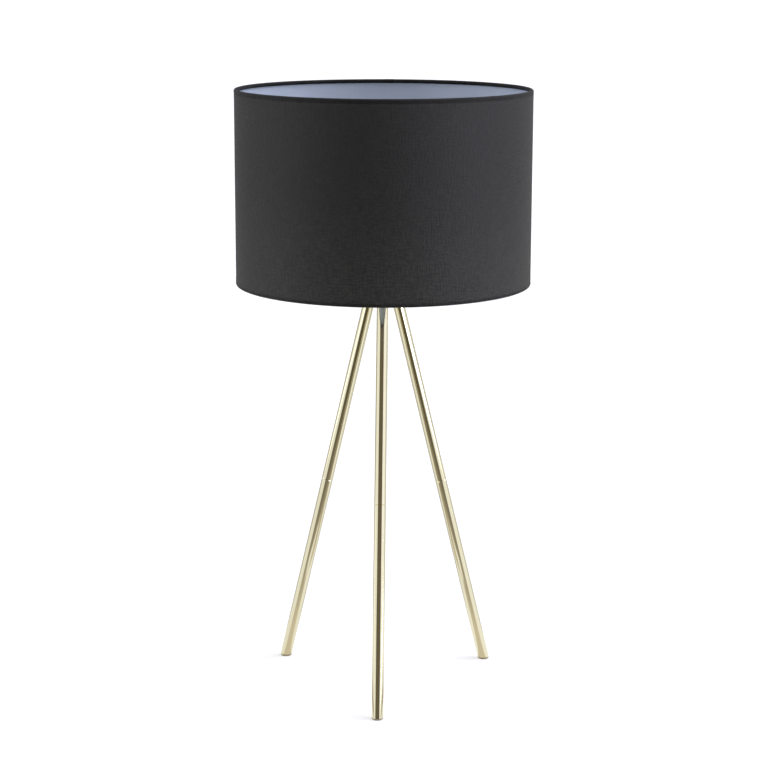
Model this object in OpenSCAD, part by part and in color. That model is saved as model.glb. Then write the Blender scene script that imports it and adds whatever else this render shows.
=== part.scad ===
// Tripod table lamp: three screwed tube legs, a turned hub, a switched lampholder and a drum shade.
// Millimetres, +Z up. The origin is on the floor, under the lamp's axis. The front leg points to -Y.

/* [Legs] */
// Distance from the lamp's axis to where a leg's centre line meets the floor
foot_r = 128; // [110:1:150]
// Length of one leg section; each leg is two equal sections
section_l = 220; // [180:1:260]
// Outer diameter of the leg tube
tube_d = 12; // [11:0.5:14]
// Wall of the leg tube
tube_wall = 1; // [0.8:0.1:1.5]
// Chamfer on the tube ends that meet at the seam
seam_chamfer = 0.4; // [0.2:0.1:0.6]
// Height of the glide under each foot
glide_h = 2; // [1.5:0.5:4]
// Length of the glide's stem inside the tube
glide_stem_l = 14; // [10:1:20]
// Length of each bush or insert fixed in a tube end
bush_l = 14; // [10:1:18]
// How far a bush lies back from its tube's end
bush_recess = 0.5; // [0.3:0.1:1]
// Diameter of the studs in the legs
stud_d = 6; // [5:0.5:7]
// Length of the stud at the seam
seam_stud_l = 24; // [18:1:26]

/* [Hub] */
// Metal between the leg seats and the hub's rim
hub_edge = 3; // [2:0.5:8]
// Metal over the stud holes, up to the hub's top
hub_cover = 2.9; // [2:0.1:6]
// Gap between the lock nut's corners and the circle of the legs' inner sides at their tops
nut_room = 0.04; // [0:0.02:2]
// Depth of the seat that holds each leg's top
seat_depth = 4; // [3:0.5:5]
// How far the top stud screws into the hub
hub_stud_in = 8; // [6:0.5:9]
// How far the top stud reaches down into the leg
hub_stud_down = 12; // [10:1:14]
// Rounding of the hub's top edge
hub_round = 3; // [1:0.5:5]
// Bevel at the hub's lower edge
hub_bevel = 1; // [0.5:0.25:2]

/* [Nipple and gland] */
// Outer diameter of the threaded nipple
nipple_d = 10; // [9.5:0.1:10.5]
// Bore of the nipple, for the cord
nipple_bore_d = 7.2; // [6.6:0.1:7.4]
// How far the nipple stands up into the lampholder's base
nipple_up = 8.5; // [7:0.5:9]
// Width across the flats of the lock nut
nut_flats = 14; // [13:0.25:14]
// Height of the lock nut
nut_h = 4; // [3:0.5:5]
// Thickness of the lock washer
washer_t = 0.8; // [0.6:0.1:1]
// Bore of the cord gland
gland_bore_d = 6.2; // [5.5:0.1:6.6]
// Height of the cord gland
gland_l = 7; // [6:0.5:9]
// How far the nipple screws into the gland
gland_grip = 3; // [2:0.5:4]
// Wall of the gland round the nipple
gland_wall = 1.5; // [1.2:0.1:2]
// How far the gland's lower flange stands out
gland_lip = 1; // [0.6:0.1:1.2]

/* [Lampholder] */
// Outer diameter of the lampholder's base cap
cap_d = 39; // [38:0.5:42]
// Wall of the base cap
cap_wall = 2.5; // [2:0.1:3]
// Height of the base cap
cap_h = 24; // [23:0.5:28]
// Outer diameter of the threaded skirt
skirt_d = 39.8; // [39.4:0.1:40.4]
// Length of the skirt's threaded part, above the shoulder
skirt_thread_l = 14; // [11:0.5:18]
// Width of the shoulder's seat under the shade's carrier ring
shoulder_w = 1.6; // [1.2:0.1:3]
// Thickness of the shoulder
shoulder_t = 3; // [2:0.5:4]
// Thickness of the terminal plate
plate_t = 6; // [5:0.5:7]
// Wall of the skirt's spigot, round the terminal plate
spigot_wall = 1.5; // [1:0.1:2]
// Height of the screw shell
shell_h = 24; // [23:0.5:25]
// Pitch of the bulb's thread
thread_pitch = 3.63; // [3.5:0.01:3.75]
// Crest radius of the bulb's thread
thread_crest_r = 13.15; // [13:0.05:13.2]
// Depth of the bulb's thread
thread_depth = 1; // [0.8:0.05:1.1]
// Sheet thickness of the screw shell
shell_t = 0.35; // [0.3:0.05:0.4]

/* [Switch] */
// How far the switch shaft's centre lies below the terminal plate
switch_drop = 6; // [5:0.5:7]
// Diameter of the switch shaft
shaft_d = 4; // [3:0.5:5]
// Width of the switch block
switch_w = 16; // [14:0.5:18]
// Height of the switch block
switch_h = 11; // [10:0.5:11.5]
// Diameter of the knob
knob_d = 12; // [10:0.5:14]
// Length of the knob
knob_l = 11; // [8:0.5:14]
// Number of flutes round the knob
knob_flutes = 12; // [8:1:16]

/* [Shade] */
// Outer diameter of the drum
shade_d = 307; // [280:1:340]
// Height of the drum
shade_h = 202; // [180:1:240]
// How far the carrier ring lies above the drum's lower edge
carrier_rise = 31; // [20:1:40]
// Thickness of the fabric cover
cover_t = 0.6; // [0.5:0.05:0.8]
// Thickness of the lining sheet
lining_t = 0.6; // [0.4:0.05:0.8]
// Diameter of the wire in the two rings and the arms
wire_d = 3; // [2.5:0.1:3.5]
// Width of the flat carrier ring
carrier_w = 6.8; // [5:0.2:8]
// Thickness of the carrier ring
carrier_t = 2; // [1.5:0.1:2.5]
// Height of the ring nut that clamps the shade
ring_nut_h = 7; // [5:0.5:9]
// Radial width of the ring nut
ring_nut_w = 4; // [3.5:0.1:5]
// Number of grip flutes round the ring nut
ring_nut_flutes = 24; // [16:2:32]

/* [Bulb] */
// Radius of the bulb's globe
globe_r = 30; // [27:0.5:32]
// Wall of the globe
globe_wall = 1.2; // [0.8:0.1:1.6]
// Overall length of the bulb
bulb_l = 107; // [104:1:112]
// Height of the bulb's cap, from its tip
bulb_cap_l = 26; // [25.5:0.1:26.5]
// Radius of the housing where the globe sits
globe_seat_r = 26; // [24:0.5:26.5]
// Wall of the bulb's housing
housing_wall = 1.8; // [1.4:0.1:2.2]
// Number of light-emitting chips on the board
chip_count = 10; // [6:1:14]

/* [Clearances] */
// Radial gap round what is brazed, pushed or glued into place
fixed_gap = 0.05; // [0.02:0.01:0.08]
// Radial gap in a threaded or running fit
running_gap = 0.05; // [0.02:0.01:0.1]
// Gap between the shade's loose pieces and the lampholder
free_gap = 0.3; // [0.25:0.05:0.4]

/* [Hidden] */
$fn = 96;
LEG_ANGLES = [270, 30, 150];
tube_r = tube_d / 2;
bore_r = tube_r - tube_wall;
stud_r = stud_d / 2;
leg_l = 2 * section_l;
nut_corner_r = nut_flats / 2 / cos(30);
leg_top_r = nut_corner_r + nut_room + tube_r;
leg_lean = asin((foot_r - leg_top_r) / leg_l);
stud_bevel = 0.6;
below_floor = 20;
over = 1;

// Hub: its underside is a cone that lies square to the three legs.
seat_s = leg_l - seat_depth;
seat_r = foot_r - seat_s * sin(leg_lean);
seat_half_w = (tube_r + running_gap) * cos(leg_lean);
flat_margin = 0.7;
stud_hole_over = 1;
stud_hole_s = leg_l + hub_stud_in + stud_hole_over;
hub_r = seat_r + seat_half_w + hub_edge;
hub_flat_r = seat_r - seat_half_w - flat_margin;
hub_apex_z = seat_s * cos(leg_lean) - seat_r * tan(leg_lean);
hub_flat_z = hub_apex_z + hub_flat_r * tan(leg_lean);
hub_rim_z = hub_apex_z + hub_r * tan(leg_lean);
hub_top_z = stud_hole_s * cos(leg_lean) + (stud_r + running_gap) * sin(leg_lean) + hub_cover;

// Nipple, washer, nut and gland, stacked under the hub's flat.
nipple_r = nipple_d / 2;
nut_top_z = hub_flat_z - washer_t;
gland_top_z = nut_top_z - nut_h;
gland_low_z = gland_top_z - gland_l;

// Lampholder, stacked on the hub's top.
cap_r = cap_d / 2;
cap_bore_r = cap_r - cap_wall;
cap_foot_r = 14;
cap_floor_t = 2.6;
boss_wall = 3;
boss_r = nipple_r + boss_wall;
boss_over = 0.5;
boss_h = nipple_up + boss_over;
spigot_l = 5;
spigot_r = cap_bore_r - running_gap;
shell_gap = 0.25;
shell_r = thread_crest_r + shell_gap + shell_t;
skirt_room = 0.45;
skirt_neck_wall = 3.8;
skirt_r = skirt_d / 2;
skirt_bore_r = shell_r + skirt_room;
skirt_neck_r = skirt_bore_r + skirt_neck_wall;
shoulder_low_z = hub_top_z + cap_h;
shoulder_z = shoulder_low_z + shoulder_t;
plate_r = spigot_r - spigot_wall - fixed_gap;
plate_low_z = shoulder_z - plate_t;
contact_w = 5;
contact_t = 0.5;
contact_rise = 2.5;
contact_reach = 9;
contact_pad = 2.5;
contact_foot = 3;
screw_r = 1.5;
screw_head_r = 2.4;
screw_margin = 1;
screw_x = plate_r - screw_head_r - screw_margin;
screw_head_h = 2;
screw_in = 5;
screw_slot = 0.8;

// Switch, hung under the terminal plate, with its shaft to the back.
shaft_r = shaft_d / 2;
shaft_z = plate_low_z - switch_drop;
switch_room = 1;
switch_y0 = -8;
switch_y1 = sqrt(pow(plate_r - switch_room, 2) - pow(switch_w / 2, 2));
shaft_in = 7;
shaft_boss_r = 5;
shaft_boss_l = 2.5;
knob_r = knob_d / 2;
knob_room = 1.5;
knob_y0 = cap_r + shaft_boss_l + knob_room;
knob_y1 = knob_y0 + knob_l;
knob_blind = 3;
flute_r = 0.9;

// Bulb, its tip on the centre contact.
bulb_z = shoulder_z + contact_rise + running_gap;
bulb_top_z = bulb_z + bulb_l;
globe_z = bulb_top_z - globe_r;
globe_seat_z = globe_z - sqrt(globe_r * globe_r - globe_seat_r * globe_seat_r);
insulator_h = 7.5;
thread_low_z = bulb_z + insulator_h;
thread_high_z = shoulder_z + shell_h;
bulb_cap_top_z = bulb_z + bulb_cap_l;
neck_step = 0.25;
bulb_neck_r = thread_crest_r + neck_step;
skirt_over = 0.45;
skirt_top_z = bulb_cap_top_z + skirt_over;
wave_steps = 8;
bulb_cap_wall = 0.6;
contact_r = 4.5;
contact_h = 2;
contact_rim = 0.5;
insulator_top_r = 10.5;
board_t = 1.6;
chip_w = 2.8;
chip_h = 0.7;
driver_w = 16;
driver_t = 1.6;
housing_power = 1.3;

// Shade: lining and cover are nested round the two wire rings.
cover_r = shade_d / 2;
wire_r = wire_d / 2;
hem_in_r = wire_r + fixed_gap;
hem_out_r = hem_in_r + cover_t;
hem_bulge = 0.3;
ring_r = cover_r + hem_bulge - hem_out_r;
hem_join = sqrt(hem_bulge * (hem_in_r + hem_out_r) - hem_bulge * hem_bulge);
shade_low_z = shoulder_z - carrier_rise;
shade_top_z = shade_low_z + shade_h;
low_wire_z = shade_low_z + hem_out_r;
top_wire_z = shade_top_z - hem_out_r;
lining_r = cover_r - cover_t - fixed_gap;
carrier_in_r = skirt_r + free_gap;
shoulder_r = carrier_in_r + shoulder_w;
carrier_r = carrier_in_r + carrier_w;
carrier_mid_z = shoulder_z + carrier_t / 2;
ring_nut_z = shoulder_z + carrier_t + running_gap;
ring_nut_r = skirt_r + running_gap + ring_nut_w;
arm_slope = atan2(carrier_mid_z - low_wire_z, ring_r - carrier_r);
arm_l = norm([ring_r - carrier_r, carrier_mid_z - low_wire_z]);

// Places what follows on a leg: local Z runs up the leg's centre line from the floor.
module on_leg(angle) {
    rotate([0, 0, angle])
        translate([foot_r, 0, 0])
            rotate([0, -leg_lean, 0])
                children();
}

// Places what follows from one height up to another.
module from_z(low) {
    translate([0, 0, low]) children();
}

// A plain ring or tube.
module tube(outer_r, inner_r, length) {
    difference() {
        cylinder(r = outer_r, h = length);
        translate([0, 0, -over]) cylinder(r = inner_r, h = length + 2 * over);
    }
}

// A leg tube with a chamfer at each end.
module leg_tube(low_s, high_s) {
    from_z(low_s)
        rotate_extrude()
            polygon([
                [bore_r, 0], [tube_r - seam_chamfer, 0], [tube_r, seam_chamfer],
                [tube_r, high_s - low_s - seam_chamfer],
                [tube_r - seam_chamfer, high_s - low_s], [bore_r, high_s - low_s]
            ]);
}

// A stud with a bevel at each end.
module stud(low_s, high_s) {
    from_z(low_s)
        rotate_extrude()
            polygon([
                [0, 0], [stud_r - stud_bevel, 0], [stud_r, stud_bevel],
                [stud_r, high_s - low_s - stud_bevel],
                [stud_r - stud_bevel, high_s - low_s], [0, high_s - low_s]
            ]);
}

module lower_leg(angle) {
    color("khaki")
        difference() {
            on_leg(angle) leg_tube(-below_floor, section_l);
            from_z(glide_h - 4 * below_floor)
                cylinder(r = 2 * foot_r, h = 4 * below_floor);
        }
}

module upper_leg(angle) {
    color("khaki") on_leg(angle) leg_tube(section_l, leg_l);
}

// A glide: a flat turned disc under the tube's end, with a stem that leans up into the tube.
module foot_glide(angle) {
    glide_inset = 0.2;
    glide_r = tube_r - glide_inset;
    glide_bevel = 0.5;
    color("tan") {
        rotate([0, 0, angle])
            translate([foot_r - glide_h * tan(leg_lean), 0, 0])
                rotate_extrude()
                    polygon([
                        [0, 0], [glide_r - glide_bevel, 0], [glide_r, glide_bevel],
                        [glide_r, glide_h], [0, glide_h]
                    ]);
        difference() {
            on_leg(angle) cylinder(r = bore_r - fixed_gap, h = glide_stem_l);
            from_z(glide_h / 2 - below_floor) cylinder(r = 2 * foot_r, h = below_floor);
        }
    }
}

module tube_bush(low_s) {
    from_z(low_s) tube(bore_r - fixed_gap, stud_r + running_gap, bush_l);
}

module leg_joint_bushes() {
    color("goldenrod")
        for (angle = LEG_ANGLES)
            on_leg(angle) {
                tube_bush(section_l - bush_recess - bush_l);
                tube_bush(section_l + bush_recess);
            }
}

module leg_joint_studs() {
    color("silver")
        for (angle = LEG_ANGLES)
            on_leg(angle) stud(section_l - seam_stud_l / 2, section_l + seam_stud_l / 2);
}

module leg_top_inserts() {
    color("goldenrod")
        for (angle = LEG_ANGLES)
            on_leg(angle) tube_bush(leg_l - bush_recess - bush_l);
}

module hub_studs() {
    color("silver")
        for (angle = LEG_ANGLES)
            on_leg(angle) stud(leg_l - hub_stud_down, leg_l + hub_stud_in);
}

// The turned hub: a conical underside square to the legs, three leaning seats and stud holes, and one bore.
module hub() {
    color("khaki")
        difference() {
            rotate_extrude()
                polygon(concat(
                    [[0, hub_flat_z], [hub_flat_r, hub_flat_z]],
                    [[hub_r - hub_bevel, hub_rim_z - hub_bevel * tan(leg_lean)]],
                    [[hub_r, hub_rim_z + hub_bevel]],
                    [for (a = [0:15:90])
                        [hub_r - hub_round * (1 - cos(a)), hub_top_z - hub_round * (1 - sin(a))]],
                    [[0, hub_top_z]]
                ));
            from_z(hub_flat_z - over)
                cylinder(r = nipple_r + running_gap, h = hub_top_z - hub_flat_z + 2 * over);
            for (angle = LEG_ANGLES)
                on_leg(angle) {
                    from_z(leg_l - 3 * seat_depth) cylinder(r = tube_r + running_gap, h = 3 * seat_depth);
                    from_z(leg_l - over) cylinder(r = stud_r + running_gap, h = stud_hole_s - leg_l + over);
                }
        }
}

module threaded_nipple() {
    low_z = gland_top_z - gland_grip;
    color("silver")
        from_z(low_z) tube(nipple_r, nipple_bore_d / 2, hub_top_z + nipple_up - low_z);
}

// An internal-tooth lock washer.
module lock_washer() {
    tooth_w = 1.2;
    tooth_in = 1.5;
    rim_inset = 0.3;
    color("silver")
        from_z(nut_top_z)
            difference() {
                tube(hub_flat_r - rim_inset, nipple_r + running_gap, washer_t);
                for (angle = [0:45:315])
                    rotate([0, 0, angle])
                        translate([nipple_r - over, -tooth_w / 2, -over])
                            cube([over + tooth_in, tooth_w, washer_t + 2 * over]);
            }
}

module lock_nut() {
    color("silver")
        from_z(gland_top_z)
            difference() {
                cylinder(r = nut_corner_r, h = nut_h, $fn = 6);
                from_z(-over) cylinder(r = nipple_r + running_gap, h = nut_h + 2 * over);
            }
}

// The bush that the cord comes out of, screwed on the nipple's lower end.
module cord_gland() {
    gland_r = nipple_r + gland_wall;
    flange_t = 2;
    mouth = 0.8;
    color("dimgray")
        from_z(gland_low_z)
            difference() {
                union() {
                    cylinder(r = gland_r + gland_lip, h = flange_t);
                    cylinder(r = gland_r, h = gland_l);
                }
                from_z(-over) cylinder(r = gland_bore_d / 2, h = gland_l + 2 * over);
                from_z(gland_l - gland_grip)
                    cylinder(r = nipple_r + running_gap, h = gland_grip + over);
                from_z(-over)
                    cylinder(r1 = gland_bore_d / 2 + mouth + over, r2 = gland_bore_d / 2, h = mouth + over);
            }
}

// The lampholder's base: a rounded cup with a threaded boss and a hole for the switch shaft.
module holder_cap() {
    shoulder_h = 8;
    boss_in = 0.8 * cap_wall;
    color("dimgray")
        from_z(hub_top_z)
            difference() {
                union() {
                    difference() {
                        rotate_extrude()
                            polygon(concat(
                                [[0, 0], [cap_foot_r, 0]],
                                [for (a = [15:15:90])
                                    [cap_foot_r + (cap_r - cap_foot_r) * sin(a), shoulder_h * (1 - cos(a))]],
                                [[cap_r, cap_h], [0, cap_h]]
                            ));
                        rotate_extrude()
                            polygon(concat(
                                [[0, cap_floor_t], [cap_foot_r - cap_floor_t / 2, cap_floor_t]],
                                [for (a = [30:30:90])
                                    [cap_foot_r + (cap_bore_r - cap_foot_r) * sin(a),
                                     cap_floor_t + shoulder_h * (1 - cos(a))]],
                                [[cap_bore_r, cap_h + over], [0, cap_h + over]]
                            ));
                    }
                    cylinder(r = boss_r, h = boss_h);
                    translate([0, cap_r - boss_in, shaft_z - hub_top_z])
                        rotate([-90, 0, 0])
                            cylinder(r = shaft_boss_r, h = shaft_boss_l + boss_in);
                }
                from_z(-over) cylinder(r = nipple_r + running_gap, h = boss_h + 2 * over);
                translate([0, boss_r + over, shaft_z - hub_top_z])
                    rotate([-90, 0, 0]) cylinder(r = shaft_r + free_gap, h = cap_r);
            }
}

// The lampholder's skirt: spigot, shoulder for the shade, threaded part and open neck.
module holder_skirt() {
    rim_bevel = 0.8;
    color("dimgray")
        difference() {
            union() {
                from_z(shoulder_low_z - spigot_l) cylinder(r = spigot_r, h = spigot_l + over);
                from_z(shoulder_low_z) cylinder(r = shoulder_r, h = shoulder_t);
                from_z(shoulder_low_z) cylinder(r = skirt_r, h = shoulder_t + skirt_thread_l);
                from_z(shoulder_low_z)
                    cylinder(r = skirt_neck_r, h = skirt_top_z - shoulder_low_z - rim_bevel);
                from_z(skirt_top_z - rim_bevel)
                    cylinder(r1 = skirt_neck_r, r2 = skirt_neck_r - rim_bevel, h = rim_bevel);
            }
            from_z(shoulder_low_z - spigot_l - over)
                cylinder(r = skirt_bore_r, h = skirt_top_z - shoulder_low_z + spigot_l + 2 * over);
            from_z(shoulder_low_z - spigot_l - over)
                cylinder(r = plate_r + fixed_gap, h = shoulder_t + spigot_l + over);
        }
}

// The insulating plate in the skirt, under the screw shell.
module terminal_plate() {
    color("white")
        difference() {
            from_z(plate_low_z) cylinder(r = plate_r, h = plate_t);
            for (side = [-1, 1])
                translate([side * screw_x, 0, plate_low_z - over])
                    cylinder(r = screw_r + fixed_gap, h = screw_in + over);
        }
}

module terminal_screws() {
    tip_room = 0.5;
    color("gold")
        for (side = [-1, 1])
            translate([side * screw_x, 0, plate_low_z])
                difference() {
                    union() {
                        from_z(-screw_head_h) cylinder(r = screw_head_r, h = screw_head_h);
                        cylinder(r = screw_r, h = screw_in - tip_room);
                    }
                    translate([-screw_head_r - over, -screw_slot / 2, -screw_head_h - over])
                        cube([2 * (screw_head_r + over), screw_slot, over + screw_head_h / 2]);
                }
}

// Radius of the bulb's thread at a height, as rings of the thread's pitch, counted from the shoulder.
function thread_r(z) =
    thread_crest_r - thread_depth / 2 * (1 - cos(360 * (z - shoulder_z) / thread_pitch));

// Heights at which the thread's wave is drawn, from one height to another.
function wave_heights(low, high) =
    [for (i = [0:ceil((high - low) * wave_steps / thread_pitch)])
        min(low + i * thread_pitch / wave_steps, high)];

module screw_shell() {
    flange_in = 2.5;
    heights = wave_heights(shoulder_z, thread_high_z);
    color("gold") {
        rotate_extrude()
            polygon(concat(
                [for (z = heights) [thread_r(z) + shell_gap, z]],
                [for (i = [len(heights) - 1:-1:0])
                    [thread_r(heights[i]) + shell_gap + shell_t, heights[i]]]
            ));
        from_z(shoulder_z) tube(shell_r, thread_crest_r - flange_in, shell_t);
    }
}

// The bent strip that presses on the bulb's tip.
module centre_contact() {
    color("gold")
        translate([-contact_w / 2, 0, shoulder_z])
            rotate([90, 0, 90])
                linear_extrude(contact_w)
                    polygon([
                        [-contact_reach, 0], [-contact_reach + contact_foot, 0],
                        [-contact_pad + contact_t, contact_rise - contact_t],
                        [contact_pad, contact_rise - contact_t], [contact_pad, contact_rise],
                        [-contact_pad, contact_rise],
                        [-contact_reach + contact_foot - contact_t, contact_t],
                        [-contact_reach, contact_t]
                    ]);
}

module switch_block() {
    color("white")
        difference() {
            translate([-switch_w / 2, switch_y0, plate_low_z - switch_h])
                cube([switch_w, switch_y1 - switch_y0, switch_h]);
            translate([0, switch_y1 - shaft_in, shaft_z])
                rotate([-90, 0, 0]) cylinder(r = shaft_r + running_gap, h = shaft_in + over);
        }
}

module switch_shaft() {
    end_play = 0.5;
    start_y = switch_y1 - shaft_in + end_play;
    color("silver")
        translate([0, start_y, shaft_z])
            rotate([-90, 0, 0]) cylinder(r = shaft_r, h = knob_y1 - knob_blind - start_y);
}

module switch_knob() {
    neck_r = 0.7 * knob_r;
    neck_l = 1.5;
    taper_end = 3;
    flute_start = 2;
    edge = 1;
    color("dimgray")
        translate([0, knob_y0, shaft_z])
            rotate([-90, 0, 0])
                difference() {
                    rotate_extrude()
                        polygon([
                            [0, 0], [neck_r, 0], [neck_r, neck_l], [knob_r, taper_end],
                            [knob_r, knob_l - edge], [knob_r - edge, knob_l], [0, knob_l]
                        ]);
                    from_z(-over) cylinder(r = shaft_r + fixed_gap, h = knob_l - knob_blind + over);
                    for (i = [0:knob_flutes - 1])
                        rotate([0, 0, i * 360 / knob_flutes])
                            translate([knob_r + flute_r / 2, 0, flute_start])
                                cylinder(r = flute_r, h = knob_l);
                }
}

// The fluted nut that holds the shade down on the lampholder's shoulder.
module shade_ring_nut() {
    color("dimgray")
        from_z(ring_nut_z)
            difference() {
                tube(ring_nut_r, skirt_r + running_gap, ring_nut_h);
                for (i = [0:ring_nut_flutes - 1])
                    rotate([0, 0, i * 360 / ring_nut_flutes])
                        translate([ring_nut_r + flute_r / 2, 0, -over])
                            cylinder(r = flute_r, h = ring_nut_h + 2 * over);
            }
}

module carrier_ring() {
    color("white") from_z(shoulder_z) tube(carrier_r, carrier_in_r, carrier_t);
}

// Places what follows on a carrier arm: local Z runs down the arm from its inner end, on the lamp's side.
module on_arm(angle) {
    rotate([0, 0, angle])
        translate([carrier_r, 0, carrier_mid_z])
            rotate([0, 90 + arm_slope, 0])
                children();
}

module carrier_arms() {
    arm_end = wire_r + fixed_gap;
    color("white")
        difference() {
            for (angle = LEG_ANGLES)
                on_arm(angle) from_z(-wire_d) cylinder(r = wire_r, h = arm_l - arm_end + wire_d);
            from_z(carrier_mid_z - 2 * wire_d) cylinder(r = carrier_r + fixed_gap, h = 4 * wire_d);
        }
}

module wire_ring(z) {
    color("silver")
        from_z(z) rotate_extrude() translate([ring_r, 0]) circle(r = wire_r);
}

module bottom_wire() {
    wire_ring(low_wire_z);
}

module top_wire() {
    wire_ring(top_wire_z);
}

// The stiff pale sheet inside the cover, from hem to hem.
module shade_lining() {
    low_z = low_wire_z + hem_out_r + fixed_gap;
    color("lightsteelblue")
        from_z(low_z)
            tube(lining_r, lining_r - lining_t, top_wire_z - hem_out_r - fixed_gap - low_z);
}

// The fabric rolled round a wire ring.
module hem_roll(z) {
    from_z(z)
        rotate_extrude()
            translate([ring_r, 0])
                difference() {
                    circle(r = hem_out_r);
                    circle(r = hem_in_r);
                }
}

// The fabric cover: the wall and its two hems, notched where the carrier arms pass.
module shade_cover() {
    color([0.17, 0.17, 0.17])
        difference() {
            union() {
                from_z(low_wire_z + hem_join)
                    tube(cover_r, cover_r - cover_t, top_wire_z - low_wire_z - 2 * hem_join);
                hem_roll(low_wire_z);
                hem_roll(top_wire_z);
            }
            for (angle = LEG_ANGLES)
                on_arm(angle) cylinder(r = wire_r + free_gap, h = arm_l);
        }
}

module bulb_contact() {
    color("silver") from_z(bulb_z) cylinder(r1 = contact_r - 1, r2 = contact_r, h = contact_h);
}

module bulb_insulator() {
    color("black")
        from_z(bulb_z + contact_h)
            cylinder(r1 = contact_r + contact_rim, r2 = insulator_top_r, h = insulator_h - contact_h);
}

// The bulb's threaded cap, hollow above the insulator.
module bulb_cap() {
    plain_l = 1.5;
    rim_l = 1;
    heights = wave_heights(thread_low_z, bulb_cap_top_z - plain_l);
    color("silver")
        rotate_extrude()
            polygon(concat(
                [[0, thread_low_z]],
                [for (z = heights) [thread_r(z), z]],
                [[bulb_neck_r, bulb_cap_top_z - rim_l], [bulb_neck_r, bulb_cap_top_z]],
                [[thread_crest_r - thread_depth - bulb_cap_wall, bulb_cap_top_z]],
                [[thread_crest_r - thread_depth - bulb_cap_wall, thread_low_z + bulb_cap_wall]],
                [[0, thread_low_z + bulb_cap_wall]]
            ));
}

// Outline of the housing's outside, from the cap to the globe, drawn in by a given wall.
function housing_line(wall) =
    [for (t = [0:0.125:1])
        [bulb_neck_r + (globe_seat_r - bulb_neck_r) * pow(sin(90 * t), housing_power) - wall,
         bulb_cap_top_z + (globe_seat_z - bulb_cap_top_z) * t]];

module bulb_housing() {
    outer = housing_line(0);
    inner = housing_line(housing_wall);
    color("white")
        rotate_extrude()
            polygon(concat(outer, [for (i = [len(inner) - 1:-1:0]) inner[i]]));
}

// The driver board, standing in the housing on the cap's rim.
module bulb_driver() {
    low_z = thread_low_z + bulb_cap_wall + fixed_gap;
    top_z = globe_seat_z - fixed_gap;
    capacitor_r = 3.2;
    capacitor_l = 12;
    coil = [10, 5.2, 8];
    parts_rise = 4;
    sink = 0.2;
    color("green") {
        translate([-driver_w / 2, -driver_t / 2, low_z]) cube([driver_w, driver_t, top_z - low_z]);
        from_z(bulb_cap_top_z + parts_rise) {
            translate([0, driver_t / 2 + capacitor_r - sink, 0]) cylinder(r = capacitor_r, h = capacitor_l);
            translate([-coil[0] / 2, -driver_t / 2 - coil[1] + sink, 0]) cube(coil);
        }
    }
}

// The light-emitting board on the housing's rim, under the globe.
module bulb_led_board() {
    rim_room = 0.6;
    board_r = globe_seat_r - globe_wall - rim_room;
    chips_r = 0.65 * board_r;
    sink = 0.1;
    color("white")
        from_z(globe_seat_z) {
            cylinder(r = board_r, h = board_t);
            for (i = [0:chip_count - 1])
                rotate([0, 0, i * 360 / chip_count])
                    translate([chips_r - chip_w / 2, -chip_w / 2, board_t - sink])
                        cube([chip_w, chip_w, chip_h + sink]);
        }
}

module bulb_globe() {
    color("ivory")
        difference() {
            from_z(globe_z) sphere(r = globe_r);
            from_z(globe_z) sphere(r = globe_r - globe_wall);
            from_z(globe_seat_z - 2 * globe_r) cylinder(r = 2 * globe_r, h = 2 * globe_r);
        }
}

lower_leg(LEG_ANGLES[0]);  // lower_leg_front
lower_leg(LEG_ANGLES[1]);  // lower_leg_right
lower_leg(LEG_ANGLES[2]);  // lower_leg_left
upper_leg(LEG_ANGLES[0]);  // upper_leg_front
upper_leg(LEG_ANGLES[1]);  // upper_leg_right
upper_leg(LEG_ANGLES[2]);  // upper_leg_left
foot_glide(LEG_ANGLES[0]);  // foot_glide_front
foot_glide(LEG_ANGLES[1]);  // foot_glide_right
foot_glide(LEG_ANGLES[2]);  // foot_glide_left
leg_joint_bushes();
leg_joint_studs();
leg_top_inserts();
hub_studs();
hub();
threaded_nipple();
lock_washer();
lock_nut();
cord_gland();
holder_cap();
holder_skirt();
terminal_plate();
terminal_screws();
screw_shell();
centre_contact();
switch_block();
switch_shaft();
switch_knob();
shade_ring_nut();
carrier_ring();
carrier_arms();
bottom_wire();
top_wire();
shade_lining();
shade_cover();
bulb_contact();
bulb_insulator();
bulb_cap();
bulb_housing();
bulb_driver();
bulb_led_board();
bulb_globe();
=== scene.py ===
"""Tripod table lamp: the looks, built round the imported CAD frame. Metres, +Z up."""
import math

import bpy
from mathutils import Matrix, Vector, noise


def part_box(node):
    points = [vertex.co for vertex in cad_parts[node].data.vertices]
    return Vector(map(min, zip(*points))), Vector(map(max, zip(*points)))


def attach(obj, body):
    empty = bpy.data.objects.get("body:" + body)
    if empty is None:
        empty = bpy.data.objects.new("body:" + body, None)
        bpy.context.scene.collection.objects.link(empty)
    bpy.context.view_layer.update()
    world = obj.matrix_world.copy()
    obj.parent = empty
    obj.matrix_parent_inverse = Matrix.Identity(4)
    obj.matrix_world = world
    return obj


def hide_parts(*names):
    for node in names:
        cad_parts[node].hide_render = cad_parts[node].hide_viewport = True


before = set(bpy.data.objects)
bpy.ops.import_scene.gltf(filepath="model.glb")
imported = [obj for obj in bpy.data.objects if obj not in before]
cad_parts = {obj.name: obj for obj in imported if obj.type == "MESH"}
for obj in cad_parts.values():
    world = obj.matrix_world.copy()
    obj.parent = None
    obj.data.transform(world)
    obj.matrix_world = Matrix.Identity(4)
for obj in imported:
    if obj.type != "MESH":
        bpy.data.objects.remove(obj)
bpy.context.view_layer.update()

bpy.context.scene.view_settings.view_transform = "Standard"

# ---------------------------------------------------------------- camera

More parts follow.
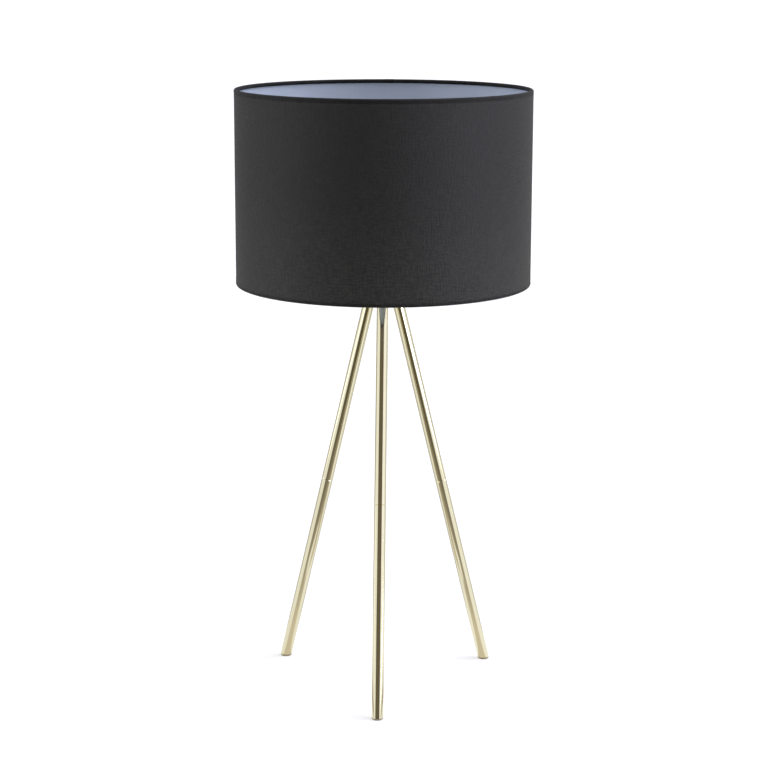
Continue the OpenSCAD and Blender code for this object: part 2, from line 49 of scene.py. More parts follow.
IMAGE_PX = 768                 # the picture is square
SENSOR_MM = 36.0
FOCAL_PX = 2052.0              # focal length in pixels
CAMERA_DISTANCE = 2.1221       # from the lamp's axis, level
CAMERA_HEIGHT = 0.7766
CAMERA_AZIMUTH = 2.2           # degrees round from the front, towards +X
CAMERA_PITCH = 12.006          # degrees below level
CAMERA_YAW = -0.029            # degrees by which it looks past the axis
CAMERA_ROLL = 0.147            # degrees
CAMERA_REACH = 100.0


def add_camera():
    azimuth = math.radians(CAMERA_AZIMUTH)
    heading = math.radians(CAMERA_AZIMUTH + CAMERA_YAW)
    pitch = math.radians(CAMERA_PITCH)
    roll = math.radians(CAMERA_ROLL)
    place = Vector((CAMERA_DISTANCE * math.sin(azimuth),
                    -CAMERA_DISTANCE * math.cos(azimuth),
                    CAMERA_HEIGHT))
    forward = Vector((-math.sin(heading) * math.cos(pitch),
                      math.cos(heading) * math.cos(pitch),
                      -math.sin(pitch)))
    level = Vector((math.cos(heading), math.sin(heading), 0.0))
    above = level.cross(forward)
    right = level * math.cos(roll) + above * math.sin(roll)
    up = above * math.cos(roll) - level * math.sin(roll)
    data = bpy.data.cameras.new("camera")
    data.sensor_width = SENSOR_MM
    data.lens = FOCAL_PX * SENSOR_MM / IMAGE_PX
    data.clip_end = CAMERA_REACH
    camera = bpy.data.objects.new("camera", data)
    turn = Matrix((right, up, -forward)).transposed()
    camera.matrix_world = Matrix.Translation(place) @ turn.to_4x4()
    bpy.context.scene.collection.objects.link(camera)
    bpy.context.scene.camera = camera


# ---------------------------------------------------------------- node helpers


class Graph:
    """A material's or world's node tree, with short ways to add maths."""

    def __init__(self, owner):
        owner.use_nodes = True
        self.tree = owner.node_tree
        self.tree.nodes.clear()

    def node(self, kind, **settings):
        made = self.tree.nodes.new(kind)
        for key, value in settings.items():
            setattr(made, key, value)
        return made

    def put(self, socket, value):
        """Links an output to a socket, or sets a plain value on it."""
        if isinstance(value, bpy.types.NodeSocket):
            self.tree.links.new(value, socket)
        else:
            socket.default_value = value

    def math(self, operation, *values):
        made = self.node("ShaderNodeMath", operation=operation)
        for socket, value in zip(made.inputs, values):
            self.put(socket, value)
        return made.outputs[0]

    def total(self, *values):
        out = values[0]
        for value in values[1:]:
            out = self.math("ADD", out, value)
        return out

    def product(self, first, second):
        return self.math("MULTIPLY", first, second)

    def scaled(self, value, factor, offset=0.0):
        return self.math("MULTIPLY_ADD", value, factor, offset)

    def size(self, value):
        return self.math("ABSOLUTE", value)

    def distance(self, x, y):
        """How far a point is from where x and y are both 0."""
        return self.math("SQRT", self.total(self.product(x, x), self.product(y, y)))

    def ramp(self, value, low, high, out_low=0.0, out_high=1.0):
        """A smooth step of value from low to high."""
        made = self.node("ShaderNodeMapRange", interpolation_type="SMOOTHSTEP")
        for socket, number in zip(made.inputs[:5], (value, low, high, out_low, out_high)):
            self.put(socket, number)
        return made.outputs[0]

    def ramp_down(self, value, low, high):
        """1 below low, 0 above high."""
        return self.ramp(value, low, high, 1.0, 0.0)

    def edge(self, value, place, width):
        """0 before a place and 1 after it, over a soft edge."""
        return self.ramp(value, place - width / 2, place + width / 2)

    def edge_down(self, value, place, width):
        return self.ramp_down(value, place - width / 2, place + width / 2)

    def mix(self, factor, first, second):
        """A colour between first and second."""
        made = self.node("ShaderNodeMix", data_type="RGBA")
        self.put(made.inputs[0], factor)
        self.put(made.inputs[6], first)
        self.put(made.inputs[7], second)
        return made.outputs[2]

    def shade(self, colour, factor):
        """A plain colour times a number that varies."""
        made = self.node("ShaderNodeVectorMath", operation="SCALE")
        made.inputs[0].default_value = colour
        self.put(made.inputs[3], factor)
        return made.outputs[0]

    def place(self):
        return self.node("ShaderNodeTexCoord").outputs["Object"]

    def xyz(self, vector):
        made = self.node("ShaderNodeSeparateXYZ")
        self.put(made.inputs[0], vector)
        return made.outputs

    def vector(self, x, y, z):
        made = self.node("ShaderNodeCombineXYZ")
        for socket, value in zip(made.inputs, (x, y, z)):
            self.put(socket, value)
        return made.outputs[0]

    def noise(self, vector, scale=1.0, detail=2.0, rough=0.5):
        made = self.node("ShaderNodeTexNoise")
        self.put(made.inputs["Vector"], vector)
        made.inputs["Scale"].default_value = scale
        made.inputs["Detail"].default_value = detail
        made.inputs["Roughness"].default_value = rough
        return made.outputs["Fac"]

    def bump(self, height, strength, distance):
        made = self.node("ShaderNodeBump")
        made.inputs["Strength"].default_value = strength
        made.inputs["Distance"].default_value = distance
        self.put(made.inputs["Height"], height)
        return made.outputs["Normal"]


# ---------------------------------------------------------------- light

# The world is a photographer's studio, and lights the lamp as well as showing in its metal: every
# ray but the camera's sees it. Directions are in degrees round from the front, positive to the
# right, and heights are in degrees above level.
WHITE = (1.0, 1.0, 1.0, 1.0)
EDGE_SOFT = 5.0                         # over which a box's edge fades
DARK_HALF = 41.5                        # the boxes start this far to each side of the front
LEFT_BOX, RIGHT_BOX = -103.0, 106.0     # and end here
LEFT_LIGHT = (1.00, 1.00, 1.06, 1.0)
RIGHT_LIGHT = (1.12, 1.12, 1.26, 1.0)
# Both boxes are brighter near their tops, which light the cloth's sides. A top's brightness
# rises from FROM to FULL, and ends at TO.
LEFT_TOP_FROM, LEFT_TOP_FULL, LEFT_TOP_TO = -47.0, -59.0, -120.0
RIGHT_TOP_FROM, RIGHT_TOP_FULL, RIGHT_TOP_TO = 56.0, 72.0, 126.0
LEFT_TOP = (3.10, 3.07, 3.33, 1.0)
RIGHT_TOP = (6.60, 6.52, 7.50, 1.0)
TOP_LOW, TOP_HIGH = 24.0, 36.0          # heights between which the tops take over
SKY_LIGHT = (0.72, 0.72, 0.73, 1.0)
SKY_LOW, SKY_HIGH = 45.0, 62.0          # heights between which the ceiling takes over
ROOM_DARK = (0.150, 0.126, 0.098, 1.0)  # the unlit room behind the camera
ROOM_DARK_HALF = 60.0
ROOM_LEFT = (0.42, 0.42, 0.43, 1.0)     # the walls beyond the boxes
ROOM_RIGHT = (0.50, 0.50, 0.51, 1.0)
ROOM_BLEND = 20.0


def light_room():
    world = bpy.data.worlds.new("studio")
    bpy.context.scene.world = world
    g = Graph(world)
    coords = g.node("ShaderNodeTexCoord")
    x, y, z = g.xyz(coords.outputs["Generated"])
    side = g.scaled(g.math("ARCTAN2", x, g.product(y, -1.0)), 180.0 / math.pi)
    height = g.scaled(g.math("ARCSINE", z), 180.0 / math.pi)
    high = g.ramp(height, TOP_LOW, TOP_HIGH)
    walls = g.mix(g.ramp(side, -ROOM_BLEND, ROOM_BLEND), ROOM_LEFT, ROOM_RIGHT)
    room = g.mix(g.math("LESS_THAN", g.size(side), ROOM_DARK_HALF), walls, ROOM_DARK)

    in_left = g.product(g.edge(side, LEFT_BOX, EDGE_SOFT),
                        g.edge_down(side, -DARK_HALF, EDGE_SOFT))
    over_left = g.product(g.edge(side, LEFT_TOP_TO, EDGE_SOFT),
                          g.ramp_down(side, LEFT_TOP_FULL, LEFT_TOP_FROM))
    room = g.mix(in_left, room, LEFT_LIGHT)
    room = g.mix(g.product(over_left, high), room, LEFT_TOP)

    in_right = g.product(g.edge(side, DARK_HALF, EDGE_SOFT),
                         g.edge_down(side, RIGHT_BOX, EDGE_SOFT))
    over_right = g.product(g.ramp(side, RIGHT_TOP_FROM, RIGHT_TOP_FULL),
                           g.edge_down(side, RIGHT_TOP_TO, EDGE_SOFT))
    room = g.mix(in_right, room, RIGHT_LIGHT)
    room = g.mix(g.product(over_right, high), room, RIGHT_TOP)

    room = g.mix(g.ramp(height, SKY_LOW, SKY_HIGH), room, SKY_LIGHT)
    seen = g.node("ShaderNodeLightPath").outputs["Is Camera Ray"]
    back = g.node("ShaderNodeBackground")
    g.put(back.inputs["Color"], g.mix(seen, room, WHITE))
    out = g.node("ShaderNodeOutputWorld")
    g.put(out.inputs["Surface"], back.outputs[0])


# ---------------------------------------------------------------- floor

FLOOR_HALF = 40.0
FLOOR_COLOUR = (0.62, 0.62, 0.62, 1.0)
FLOOR_LIFT = 0.40              # for the camera only: open floor is just white, shadows stay

# The rest is for glossy rays only: a glowing table that the legs and the cloth mirror, with its
# light and shade painted in: bright at the sides and behind, dark in front of the lamp. Directions
# are in degrees from straight ahead (-Y), distances in metres.
TABLE_FRONT = (0.085, 0.072, 0.045, 1.0)       # far in front
TABLE_UNDER = (0.70, 0.64, 0.58, 1.0)          # in front, but under the lamp
TABLE_FALL = 4.5                               # how fast one turns into the other, per metre
TABLE_LEFT = (0.95, 0.95, 1.00, 1.0)
TABLE_LEFT_FAR = (1.70, 1.69, 1.85, 1.0)
TABLE_RIGHT = (1.02, 1.02, 1.10, 1.0)
TABLE_RIGHT_FAR = (8.80, 8.70, 10.0, 1.0)      # a bright patch, which the cloth's right side shows
TABLE_BACK_LEFT = (0.48, 0.47, 0.46, 1.0)
TABLE_BACK_RIGHT = (0.62, 0.61, 0.60, 1.0)
MIDDLE_SOFT = 0.10                             # over which left turns into right
FAR_START, FAR_END = (1.3, 2.1), (2.6, 3.6)    # from the axis: where the far table comes and goes
# Painted shade in the mirrored table: a dark lane in front of each leg.
LANE_Y = 0.075                                 # the dark lane in front of each leg widens from here
LANE_X, LANE_SPREAD = 0.10, 0.12               # the side legs' lanes lie at x = X + SPREAD * y
LANE_EDGE = (28.0, 42.0)
LANE_WIDER = 10.0                              # on the far right
SIDE_Y = 0.12                                  # directions to the sides are taken from here
PATCH_EDGE = (76.0, 90.0)                      # where the bright patch ends
BACK_EDGE = (98.0, 112.0)                      # where the table behind starts
BACK_LATER = 6.0                               # on the far right
FOOT_Y = 0.13                                  # the front foot, with lit table beside and behind it
FOOT_NEAR = (0.05, 0.09)
FOOT_FRONT = (-0.150, -0.136)


def in_radians(pair):
    return [math.radians(angle) for angle in pair]


def table_seen(g):
    """The colour of the table as glossy rays see it."""
    x, y, z = g.xyz(g.place())
    radius = g.distance(x, y)
    far = g.product(g.ramp(radius, *FAR_START), g.ramp_down(radius, *FAR_END))
    right = g.edge(x, 0.0, MIDDLE_SOFT)
    far_right = g.product(far, right)
    across = g.size(g.math("ARCTAN2", x, g.scaled(y, -1.0, SIDE_Y)))

    patch = g.product(far, g.ramp_down(across, *in_radians(PATCH_EDGE)))
    lit = g.mix(right,
                g.mix(far, TABLE_LEFT, TABLE_LEFT_FAR),
                g.mix(patch, TABLE_RIGHT, TABLE_RIGHT_FAR))

    fall = g.math("EXPONENT", g.product(g.math("MINIMUM", y, 0.0), TABLE_FALL))
    front = g.mix(fall, TABLE_FRONT, TABLE_UNDER)
    from_foot = g.distance(x, g.scaled(y, 1.0, FOOT_Y))
    beside = g.product(g.ramp_down(from_foot, *FOOT_NEAR), g.ramp(y, *FOOT_FRONT))
    front = g.mix(beside, front, lit)

    lane = g.math("MAXIMUM", g.scaled(y, LANE_SPREAD, LANE_X), 0.0)
    off_lane = g.size(g.math("SUBTRACT", g.size(x), lane))
    ahead = g.math("ARCTAN2", off_lane, g.scaled(y, -1.0, LANE_Y))
    ahead = g.total(ahead, g.scaled(far_right, -math.radians(LANE_WIDER)))
    seen = g.mix(g.ramp(ahead, *in_radians(LANE_EDGE)), front, lit)

    side = g.total(across, g.scaled(far_right, -math.radians(BACK_LATER)))
    behind = g.mix(right, TABLE_BACK_LEFT, TABLE_BACK_RIGHT)
    return g.mix(g.ramp(side, *in_radians(BACK_EDGE)), seen, behind)


def add_floor():
    mesh = bpy.data.meshes.new("floor")
    corners = [(-FLOOR_HALF, -FLOOR_HALF, 0), (FLOOR_HALF, -FLOOR_HALF, 0),
               (FLOOR_HALF, FLOOR_HALF, 0), (-FLOOR_HALF, FLOOR_HALF, 0)]
    mesh.from_pydata(corners, [], [(0, 1, 2, 3)])
    floor = bpy.data.objects.new("floor", mesh)
    bpy.context.scene.collection.objects.link(floor)
    material = bpy.data.materials.new("floor")
    g = Graph(material)
    path = g.node("ShaderNodeLightPath")
    matte = g.node("ShaderNodeBsdfDiffuse")
    matte.inputs["Color"].default_value = FLOOR_COLOUR
    lift = g.node("ShaderNodeEmission")
    g.put(lift.inputs["Strength"], g.product(path.outputs["Is Camera Ray"], FLOOR_LIFT))
    both = g.node("ShaderNodeAddShader")
    g.put(both.inputs[0], matte.outputs[0])
    g.put(both.inputs[1], lift.outputs[0])
    table = g.node("ShaderNodeEmission")
    g.put(table.inputs["Color"], table_seen(g))
    choose = g.node("ShaderNodeMixShader")
    g.put(choose.inputs[0], path.outputs["Is Glossy Ray"])
    g.put(choose.inputs[1], both.outputs[0])
    g.put(choose.inputs[2], table.outputs[0])
    out = g.node("ShaderNodeOutputMaterial")
    g.put(out.inputs["Surface"], choose.outputs[0])
    mesh.materials.append(material)


# ---------------------------------------------------------------- materials


def new_material(name, colour, rough, metal=0.0, specular=0.5):
    """A material, its graph and its main shader, with the shader's plain values set."""
    material = bpy.data.materials.new(name)
    g = Graph(material)
    shader = g.node("ShaderNodeBsdfPrincipled")
    shader.inputs["Base Color"].default_value = (*colour, 1.0)
    shader.inputs["Roughness"].default_value = rough
    shader.inputs["Metallic"].default_value = metal
    shader.inputs["Specular IOR Level"].default_value = specular
    out = g.node("ShaderNodeOutputMaterial")
    g.put(out.inputs["Surface"], shader.outputs[0])
    return material, g, shader


LEG_COLOUR = (0.82, 0.77, 0.53)
LEG_LEAN = 15.0                # degrees


def leg_material(name, angle, lean):
    """Polished brass plate on a drawn tube: fine lines and soft wear along the leg's own axis."""
    material, g, shader = new_material(name, LEG_COLOUR, 0.1, metal=1.0)
    along = g.node("ShaderNodeMapping", vector_type="POINT")
    g.put(along.inputs["Vector"], g.place())
    turn = Matrix.Rotation(lean, 3, "Y") @ Matrix.Rotation(-angle, 3, "Z")
    along.inputs["Rotation"].default_value = turn.to_euler("XYZ")
    x, y, z = g.xyz(along.outputs[0])
    lines = g.noise(g.vector(x, y, g.scaled(z, 0.03)), scale=2600.0, detail=2.0, rough=0.6)
    wear = g.noise(g.vector(x, y, g.scaled(z, 0.35)), scale=160.0, detail=4.0, rough=0.6)
    cloud = g.noise(g.place(), scale=22.0, detail=3.0, rough=0.5)
    worn = g.scaled(g.ramp(wear, 0.50, 0.70), 0.08)
    g.put(shader.inputs["Roughness"], g.total(g.scaled(lines, 0.07, 0.045), worn))
    tone = g.total(g.scaled(cloud, 0.08, 0.93), g.scaled(wear, 0.06))
    g.put(shader.inputs["Base Color"], g.shade(LEG_COLOUR, tone))
    g.put(shader.inputs["Normal"], g.bump(lines, strength=0.3, distance=0.00002))
    return material


def turned_brass(name, colour, rough):
    """Brass turned on a lathe: fine rings round the upright axis."""
    material, g, shader = new_material(name, colour, rough, metal=1.0)
    x, y, z = g.xyz(g.place())
    rings = g.noise(g.vector(g.distance(x, y), 0.0, z), scale=2200.0, detail=3.0, rough=0.7)
    cloud = g.noise(g.place(), scale=70.0, detail=4.0, rough=0.6)
    g.put(shader.inputs["Roughness"],
          g.total(g.scaled(rings, 0.10, rough - 0.08), g.scaled(cloud, 0.06)))
    g.put(shader.inputs["Base Color"], g.shade(colour, g.scaled(cloud, 0.12, 0.94)))
    g.put(shader.inputs["Normal"], g.bump(rings, strength=0.25, distance=0.00003))
    return material


def metal(name, colour, rough):
    """Plated or drawn metal, slightly clouded."""
    material, g, shader = new_material(name, colour, rough, metal=1.0)
    fine = g.noise(g.place(), scale=700.0, detail=3.0, rough=0.6)
    cloud = g.noise(g.place(), scale=90.0, detail=4.0, rough=0.6)
    g.put(shader.inputs["Roughness"],
          g.total(g.scaled(fine, 0.10, rough - 0.08), g.scaled(cloud, 0.08)))
    g.put(shader.inputs["Base Color"], g.shade(colour, g.scaled(cloud, 0.16, 0.92)))
    g.put(shader.inputs["Normal"], g.bump(fine, strength=0.15, distance=0.00003))
    return material


def moulding(name, colour, rough, grain=0.00003, scale=1500.0):
    """Moulded or coated surface: a fine even grain and faint clouding."""
    material, g, shader = new_material(name, colour, rough)
    fine = g.noise(g.place(), scale=scale, detail=2.0, rough=0.6)
    cloud = g.noise(g.place(), scale=45.0, detail=3.0, rough=0.5)
    g.put(shader.inputs["Roughness"],
          g.total(g.scaled(fine, 0.12, rough - 0.09), g.scaled(cloud, 0.06)))
    g.put(shader.inputs["Base Color"], g.shade(colour, g.scaled(cloud, 0.08, 0.96)))
    g.put(shader.inputs["Normal"], g.bump(fine, strength=0.35, distance=grain))
    return material


LINING_COLOUR = (0.445, 0.505, 0.595)


def lining_material(name):
    """Pale laminated sheet with a faint calendered grain."""
    material, g, shader = new_material(name, LINING_COLOUR, 0.42, specular=0.7)
    x, y, z = g.xyz(g.place())
    grain = g.noise(g.vector(x, y, g.scaled(z, 0.4)), scale=240.0, detail=3.0, rough=0.6)
    cloud = g.noise(g.place(), scale=30.0, detail=3.0, rough=0.6)
    tone = g.total(g.scaled(cloud, 0.10, 0.92), g.scaled(grain, 0.06))
    g.put(shader.inputs["Base Color"], g.shade(LINING_COLOUR, tone))
    g.put(shader.inputs["Roughness"], g.scaled(grain, 0.2, 0.32))
    g.put(shader.inputs["Normal"], g.bump(grain, strength=0.2, distance=0.00008))
    return material


THREAD = 0.00055                          # spacing of the cloth's threads
THREADS_R = 0.153                         # radius at which they are counted round the drum
CLOTH_COLOUR = (0.0070, 0.0068, 0.0055)
# Painted shade: the cloth is darker where it turns in over the wire rings.
CLOTH_FOLDED_SHADE = (0.0060, 0.0057, 0.0048)   # where it turns in over the wire rings
# The hems get a copy of the cloth with less specular: painted shade on the rolls.
WALL_SPECULAR, SHADED_HEM_SPECULAR = 0.45, 0.26
SHEEN = 0.05
SHEEN_ROUGH = 0.35
SHEEN_TINT = (0.90, 0.93, 1.0, 1.0)
# How much each kind of unevenness changes the cloth's tone, and how much it lifts its surface.
TONE_WEFT, TONE_WARP, TONE_FLECK, TONE_BLOTCH, TONE_NUB = 3.6, 2.6, 3.6, 0.6, 0.5
TONE_LEAST = 0.25
LIFT_WEAVE, LIFT_WEFT, LIFT_WARP, LIFT_FLECK, LIFT_NUB = 0.4, 3.2, 2.4, 2.4, 0.8
# Painted light and shade: the wall is a little paler towards its foot, where the table below
# would light it, and darker where it starts to roll in, where shade would fall.
FOOT_LIGHT_TONE, WALL_TONE, LOW_TALL = 2.30, 0.75, 0.13
ROLL_SHADE_TONE, ROLL_FROM, ROLL_FULL = 0.55, 0.0015, 0.0050
FOLD_FROM, FOLD_FULL = 0.0012, 0.0003     # behind the wall's face, where the folded colour starts


def cloth_material(name, wall_r, low_z, high_z, specular):
    """Black cotton in plain weave, with slubs along both sets of threads, painted shade on the hems
    and painted light towards the wall's foot.
    """
    material, g, shader = new_material(name, CLOTH_COLOUR, 0.5, specular=specular)
    shader.inputs["Sheen Weight"].default_value = SHEEN
    shader.inputs["Sheen Roughness"].default_value = SHEEN_ROUGH
    shader.inputs["Sheen Tint"].default_value = SHEEN_TINT
    x, y, z = g.xyz(g.place())
    round_way = g.math("ARCTAN2", x, g.product(y, -1.0))
    across = g.scaled(round_way, THREADS_R / THREAD)  # thread number round the drum
    up = g.scaled(z, 1.0 / THREAD)                    # thread number up the drum

    # Which set of threads lies on top changes from crossing to crossing.
    cell = g.total(g.math("FLOOR", across), g.math("FLOOR", up))
    weft_up = g.math("MODULO", g.size(cell), 2.0)
    warp_shape = g.size(g.math("SINE", g.scaled(across, math.pi)))
    weft_shape = g.size(g.math("SINE", g.scaled(up, math.pi)))
    picks = g.product(weft_up, weft_shape)
    ends = g.product(g.math("SUBTRACT", 1.0, weft_up), warp_shape)
    weave = g.total(picks, ends)

    def threads(round_step, up_step, layer, **settings):
        """Noise stretched along the threads; a small step is a long stretch."""
        return g.noise(g.vector(g.scaled(across, round_step), g.scaled(up, up_step), layer),
                       **settings)

    # Slubs are thick and thin stretches that run along single threads or a few together.
    weft_slub = threads(0.060, 0.33, 3.0, detail=3.0, rough=0.65)
    warp_slub = threads(0.33, 0.045, 9.0, detail=3.0, rough=0.6)
    fleck = threads(0.26, 0.26, 14.0, detail=2.0, rough=0.6)
    nub = g.ramp(threads(0.16, 0.30, 5.0, detail=1.0, rough=0.5), 0.68, 0.80)
    blotch = g.noise(g.place(), scale=34.0, detail=3.0, rough=0.6)

    def about_zero(value, amount):
        return g.scaled(value, amount, -amount / 2)

    tone = g.total(about_zero(weft_slub, TONE_WEFT), about_zero(warp_slub, TONE_WARP),
                   about_zero(fleck, TONE_FLECK), about_zero(blotch, TONE_BLOTCH),
                   g.scaled(nub, TONE_NUB), 1.0)
    tone = g.product(g.math("MAXIMUM", tone, TONE_LEAST), g.scaled(weave, 0.35, 0.78))
    # Painted light: the wall gets paler towards its foot.
    tone = g.product(tone, g.ramp(z, low_z, low_z + LOW_TALL, FOOT_LIGHT_TONE, WALL_TONE))
    # Painted shade: darker near the top and bottom edges, where the cloth rolls in.
    edge = g.math("MINIMUM", g.math("SUBTRACT", z, low_z), g.math("SUBTRACT", high_z, z))
    tone = g.product(tone, g.ramp(edge, ROLL_FROM, ROLL_FULL, ROLL_SHADE_TONE, 1.0))
    # Painted shade: the cloth turned in behind the wall's face takes the darker folded colour; it
    # is also rougher there.
    folded = g.ramp_down(g.distance(x, y), wall_r - FOLD_FROM, wall_r - FOLD_FULL)
    g.put(shader.inputs["Base Color"],
          g.mix(folded, g.shade(CLOTH_COLOUR, tone), g.shade(CLOTH_FOLDED_SHADE, tone)))
    height = g.total(g.scaled(weave, LIFT_WEAVE), g.scaled(weft_slub, LIFT_WEFT),
                     g.scaled(warp_slub, LIFT_WARP), g.scaled(fleck, LIFT_FLECK),
                     g.scaled(nub, LIFT_NUB))
    g.put(shader.inputs["Normal"], g.bump(height, strength=0.9, distance=0.00022))
    g.put(shader.inputs["Roughness"], g.total(g.scaled(fleck, 0.4, 0.32), g.scaled(folded, 0.2)))
    return material


def dress(material, *names):
    """Gives CAD nodes a material."""
    for name in names:
        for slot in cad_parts[name].material_slots:
            slot.material = material


# ---------------------------------------------------------------- the fabric cover

LEG_ANGLES = {"front": 270.0, "right": 30.0, "left": 150.0}   # the carrier arms lie over the legs
CLOTH = 0.0006            # thickness of the cloth
CLOTH_GAP = 0.00005       # between the lining and the cloth
SEAM_ANGLE = 90.0         # the lap seam is at the back
SEAM_HALF = 0.0045
SEAM_STEP = 0.00035       # how far the lapped edge stands up
SEAM_RISE = 0.0022        # over which the cloth rises to it
SEAM_DROP = 0.00024       # over which it ends
SEAM_ON_ROLL = 0.3        # how much of the step shows on the rolls
HEM_DEPTH = 0.0068        # height of the turned-in allowance behind each edge
HEM_STEP = 0.00010        # how far it pushes the wall out
HEM_EASE = 0.0006
WAVE = 0.00016            # slow unevenness of the wall
RUCK = 0.00007            # small unevenness of the rolls
ROLL_POINTS = 15          # points in the cloth's line round each wire
ROLL_IN = 252.0           # degrees round the wire, from the hem's inner end...
ROLL_OUT = -24.0          # ...to the wall
NOTCH_HALF = 0.0023       # half width of the cut round each carrier arm
NOTCH_SIDE = 0.0004       # over which its side slopes
NOTCH_TURN = -111.0       # how far round the wire the cloth still reaches there
NOTCH_SQUEEZE = 0.01      # the rest of the roll is drawn together to this share
AROUND = 264              # sections round the drum, before those at the seam and the arms
LEAST_TURN = 0.03         # degrees between sections
WALL_ROWS = 20
SHARP = 35.0              # degrees


def smooth(value, low, high):
    t = min(max((value - low) / (high - low), 0.0), 1.0)
    return t * t * (3.0 - 2.0 * t)


def turn_from(mark, angle):
    """Degrees from angle to mark, by the short way round."""
    return (mark - angle + 180.0) % 360.0 - 180.0


def mesh_object(name, points, faces, material):
    mesh = bpy.data.meshes.new(name)
    mesh.from_pydata(points, [], faces)
    mesh.materials.append(material)
    mesh.shade_smooth()
    mesh.set_sharp_from_angle(angle=math.radians(SHARP))
    piece = bpy.data.objects.new(name, mesh)
    bpy.context.scene.collection.objects.link(piece)
    return piece


def closed_loft(sections):
    """Points and faces of a ring of closed sections, each with as many points as the next."""
    count, length = len(sections), len(sections[0])
    points = [point for section in sections for point in section]
    faces = []
    for i in range(count):
        j = (i + 1) % count
        for k in range(length):
            m = (k + 1) % length
            faces.append((i * length + k, j * length + k, j * length + m, i * length + m))
    return points, faces


def cover_line(drum, notch):
    """The cloth's middle line at one place round the drum: (radius, height) from hem to hem."""
    wall_r, ring_r, low_z, high_z, hem_r = drum
    step_turn = (ROLL_IN - ROLL_OUT) / (ROLL_POINTS - 1)
    line = []
    for step in range(ROLL_POINTS):
        turn = math.radians(ROLL_IN - step * step_turn)
        line.append((ring_r + hem_r * math.cos(turn), high_z + hem_r * math.sin(turn)))
    depths = [0.0015, 0.0028, 0.0045, HEM_DEPTH - HEM_EASE, HEM_DEPTH, HEM_DEPTH + HEM_EASE,
              HEM_DEPTH + 2 * HEM_EASE, HEM_DEPTH + 5 * HEM_EASE]
    wall = [high_z - d for d in depths]
    first, last = wall[-1], low_z + depths[-1]
    wall += [first + (last - first) * (n + 1) / WALL_ROWS for n in range(WALL_ROWS - 1)]
    wall += [low_z + d for d in reversed(depths)]
    line += [(wall_r, z) for z in wall]
    for step in range(ROLL_POINTS):
        turn = -ROLL_OUT - step * step_turn
        if notch and turn < NOTCH_TURN:
            turn = NOTCH_TURN + NOTCH_SQUEEZE * (turn - NOTCH_TURN)
        turn = math.radians(turn)
        line.append((ring_r + hem_r * math.cos(turn), low_z + hem_r * math.sin(turn)))
    return line


def cover_marks(wall_r):
    """Where the sections lie, in degrees: even steps, with more at the seam and the arms."""
    per_metre = math.degrees(1.0 / wall_r)
    marks = [i * 360.0 / AROUND for i in range(AROUND)]
    rise, drop = SEAM_HALF + SEAM_RISE, SEAM_HALF + SEAM_DROP
    for offset in (-rise, -rise + SEAM_RISE / 2, -SEAM_HALF,
                   SEAM_HALF, drop - SEAM_DROP / 2, drop):
        marks.append(SEAM_ANGLE + offset * per_metre)
    for angle in LEG_ANGLES.values():
        for offset in (-NOTCH_HALF - NOTCH_SIDE, -NOTCH_HALF,
                       NOTCH_HALF, NOTCH_HALF + NOTCH_SIDE):
            marks.append((angle + offset * per_metre) % 360.0)
    marks.sort()
    kept = [marks[0]]
    for mark in marks[1:]:
        if mark - kept[-1] > LEAST_TURN:
            kept.append(mark)
    return kept


def cover_section(mark, drum):
    """The cloth's closed outline at one place round the drum."""
    wall_r, ring_r, low_z, high_z, hem_r = drum
    per_metre = math.degrees(1.0 / wall_r)
    near_arm = any(abs(turn_from(mark, angle)) / per_metre < NOTCH_HALF + 0.0001
                   for angle in LEG_ANGLES.values())
    line = cover_line(drum, near_arm)
    from_seam = turn_from(mark, SEAM_ANGLE) / per_metre
    lap = (SEAM_STEP * smooth(from_seam, -SEAM_HALF - SEAM_RISE, -SEAM_HALF)
           * (1.0 - smooth(from_seam, SEAM_HALF, SEAM_HALF + SEAM_DROP)))
    turn = math.radians(mark)
    east, north = math.cos(turn), math.sin(turn)
    outside, inside = [], []
    for k, (radius, z) in enumerate(line):
        before = line[max(k - 1, 0)]
        after = line[min(k + 1, len(line) - 1)]
        run = Vector((after[0] - before[0], after[1] - before[1])).normalized()
        out = Vector((-run.y, run.x))
        if ROLL_POINTS <= k < len(line) - ROLL_POINTS:      # on the wall
            edge = min(high_z - z, z - low_z)
            swell = HEM_STEP * (1.0 - smooth(edge, HEM_DEPTH - HEM_EASE, HEM_DEPTH + 2 * HEM_EASE))
            spot = Vector((east * 2.2, north * 2.2, z * 14.0))
            wave = (0.5 + 0.5 * noise.noise(spot)) * WAVE
            middle = Vector((radius + swell + wave, z))
            step = lap
        else:
            spot = Vector((east * 30.0, north * 30.0, z * 40.0))
            middle = Vector((radius, z)) + out * abs(RUCK * noise.noise(spot))
            step = lap * SEAM_ON_ROLL
        outside.append(middle + out * (CLOTH / 2 + step))
        inside.append(middle - out * CLOTH / 2)
    return [(p.x * east, p.x * north, p.y) for p in outside + inside[::-1]]


def add_cover(wall_cloth, shaded_hem_cloth):
    cloth_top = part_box("shade_cover")[1]
    wire_low, wire_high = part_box("top_wire")
    low_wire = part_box("bottom_wire")
    wire_r = (wire_high.z - wire_low.z) / 2
    ring_r = wire_high.x - wire_r
    high_z = (wire_low.z + wire_high.z) / 2
    low_z = (low_wire[0].z + low_wire[1].z) / 2
    hem_r = cloth_top.z - high_z - CLOTH / 2
    wall_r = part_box("shade_lining")[1].x + CLOTH_GAP + CLOTH / 2
    drum = (wall_r, ring_r, low_z, high_z, hem_r)

    sections = [cover_section(mark, drum) for mark in cover_marks(wall_r)]
    points, faces = closed_loft(sections)
    cover = mesh_object("fabric_cover", points, faces, wall_cloth)
    cover.data.materials.append(shaded_hem_cloth)
    around = len(sections[0])
    rows = around // 2
    # The rolls take the shaded copy of the cloth: painted shade.
    for face in cover.data.polygons:
        k = face.index % around
        row = min(k, around - 1 - k)
        if row < ROLL_POINTS + 1 or row > rows - 2 - ROLL_POINTS:
            face.material_index = 1
    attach(cover, "shade")
    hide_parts("shade_cover")
    line = cover_line(drum, False)


# ---------------------------------------------------------------- build

add_camera()
light_room()
add_floor()

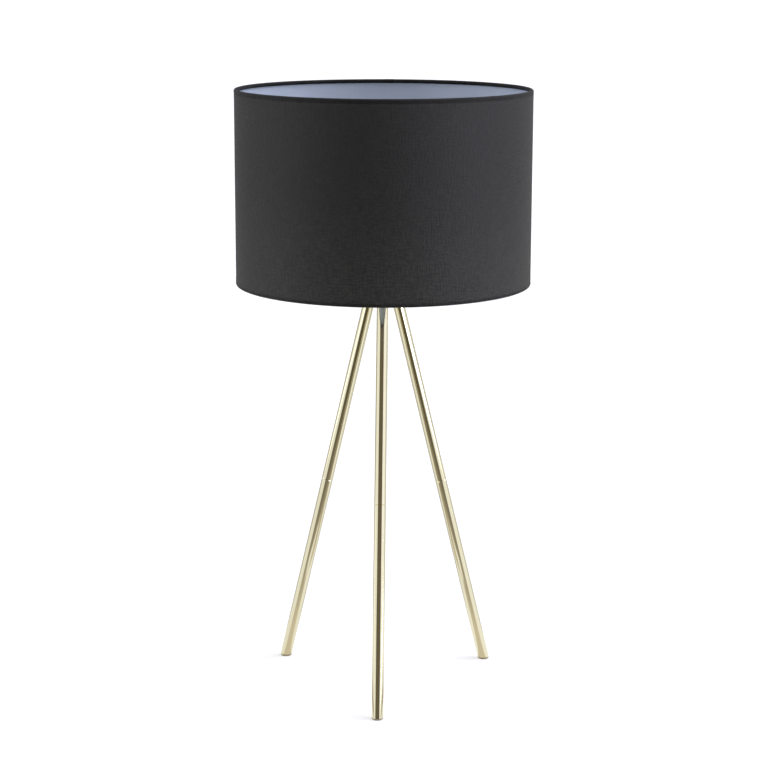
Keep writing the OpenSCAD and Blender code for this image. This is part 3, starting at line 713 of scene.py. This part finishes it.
for side, angle in LEG_ANGLES.items():
    brass = leg_material(f"leg_brass_{side}", math.radians(angle), math.radians(LEG_LEAN))
    dress(brass, f"lower_leg_{side}", f"upper_leg_{side}")
dress(turned_brass("hub_brass", (0.80, 0.74, 0.50), 0.22), "hub")
dress(turned_brass("bare_brass", (0.80, 0.62, 0.32), 0.30),
      "leg_joint_bushes", "leg_top_inserts", "terminal_screws", "centre_contact")
dress(metal("zinc_plate", (0.66, 0.66, 0.65), 0.30),
      "leg_joint_studs", "hub_studs", "threaded_nipple", "lock_washer", "lock_nut",
      "switch_shaft")
dress(moulding("glide_plastic", (0.36, 0.32, 0.20), 0.45),
      "foot_glide_front", "foot_glide_right", "foot_glide_left")
dress(moulding("gland_plastic", (0.025, 0.025, 0.025), 0.40), "cord_gland")
dress(moulding("phenolic", (0.018, 0.018, 0.018), 0.26, grain=0.00001),
      "holder_cap", "holder_skirt", "shade_ring_nut", "switch_knob")
dress(moulding("insulator", (0.82, 0.79, 0.72), 0.50), "terminal_plate", "switch_block")
dress(moulding("powder_coat", (0.82, 0.82, 0.81), 0.45, grain=0.00006, scale=900.0),
      "carrier_ring", "carrier_arms")
dress(metal("drawn_wire", (0.60, 0.60, 0.60), 0.35), "top_wire", "bottom_wire")
dress(lining_material("lining_sheet"), "shade_lining")
dress(metal("nickel_plate", (0.72, 0.70, 0.66), 0.20), "screw_shell", "bulb_cap", "bulb_contact")
dress(moulding("cap_glass", (0.015, 0.015, 0.015), 0.15, grain=0.00001), "bulb_insulator")
dress(moulding("bulb_plastic", (0.86, 0.86, 0.85), 0.40), "bulb_housing")
dress(moulding("board_green", (0.03, 0.17, 0.06), 0.40), "bulb_driver")
dress(moulding("board_white", (0.84, 0.85, 0.85), 0.35), "bulb_led_board")
dress(moulding("opal_globe", (0.90, 0.89, 0.86), 0.38, grain=0.00001), "bulb_globe")
cloth_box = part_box("shade_cover")
cloth_place = (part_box("shade_lining")[1].x, cloth_box[0].z, cloth_box[1].z)
cloth = cloth_material("black_cotton", *cloth_place, specular=WALL_SPECULAR)
dress(cloth, "shade_cover")
add_cover(cloth, cloth_material("black_cotton_hem_shaded", *cloth_place, specular=SHADED_HEM_SPECULAR))
